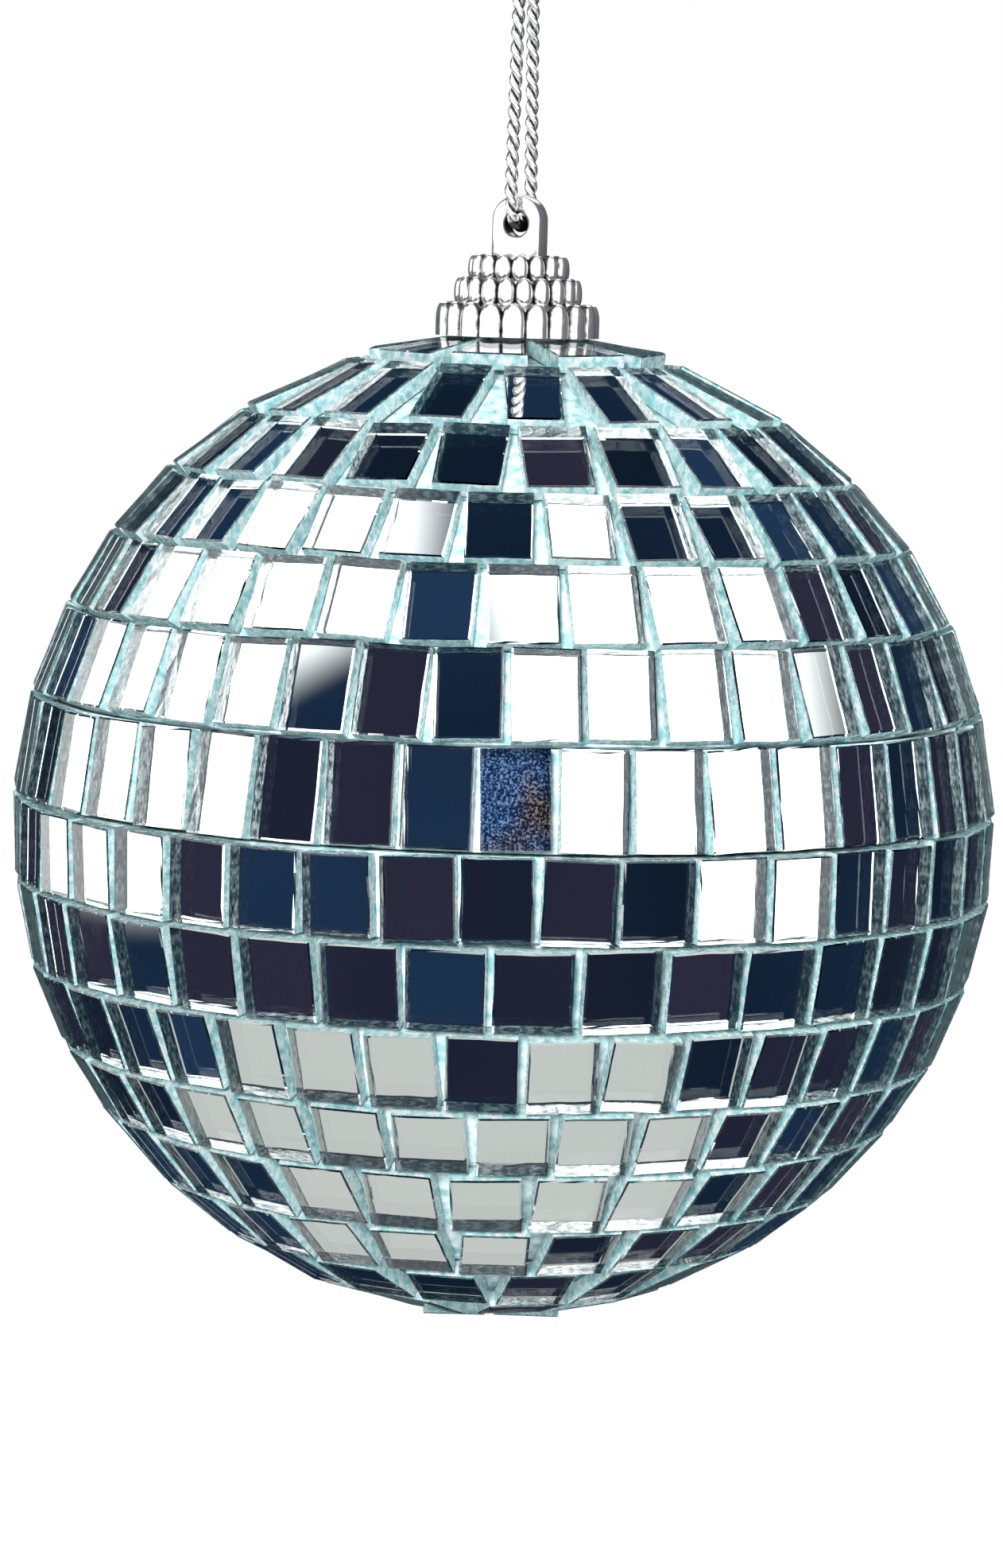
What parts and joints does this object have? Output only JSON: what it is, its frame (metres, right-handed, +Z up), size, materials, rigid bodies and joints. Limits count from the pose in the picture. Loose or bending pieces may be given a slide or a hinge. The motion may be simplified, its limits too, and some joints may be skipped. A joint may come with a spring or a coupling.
{
  "type": "mirror ball",
  "caption": "Mirror ball of hand-laid glass tiles on a foam core, with a scalloped silver cap and a looped cord, hung from a hook to turn and scatter light.",
  "frame": {"origin": "seat of the hook, inside the cord's loop just under its knot", "axes": "+Z up along the cord and the ball's axis; the cap's eyelet runs along Y, with its front towards -Y"},
  "size_m": [0.0507, 0.0507, 0.0862],
  "materials": {
    "foam": "white expanded foam",
    "mirror_tiles": "silvered glass with cut, frosted aqua edges",
    "silver_cap": "bright metallised moulding",
    "glue": "hot-melt glue",
    "silver_cord": "two-ply metallic cord"
  },
  "bodies": {
    "hang_knot": {"cord_knot": "silver_cord"},
    "cord_loop": {"hanging_cord": "silver_cord"},
    "ball": {"foam_core": "foam", "tile_row_01": "mirror_tiles", "tile_row_02": "mirror_tiles", "tile_row_03": "mirror_tiles", "tile_row_04": "mirror_tiles", "tile_row_05": "mirror_tiles", "tile_row_06": "mirror_tiles", "tile_row_07": "mirror_tiles", "tile_row_08": "mirror_tiles", "tile_row_09": "mirror_tiles", "tile_row_10": "mirror_tiles", "tile_row_11": "mirror_tiles", "tile_row_12": "mirror_tiles", "tile_row_13": "mirror_tiles", "tile_row_14": "mirror_tiles", "tile_row_15": "mirror_tiles", "pole_patch": "mirror_tiles", "cap": "silver_cap", "cap_glue_ring": "glue"}
  },
  "joints": [
    {"name": "cord_twist", "type": "hinge", "parent": "hang_knot", "child": "cord_loop", "pos_m": [0, 0, 0], "axis": [0, 0, 1], "continuous": true},
    {"name": "ball_swing", "type": "hinge", "parent": "cord_loop", "child": "ball", "pos_m": [0, 0, -0.02365], "axis": [0, 1, 0], "range_deg": [-60, 60]}
  ]
}
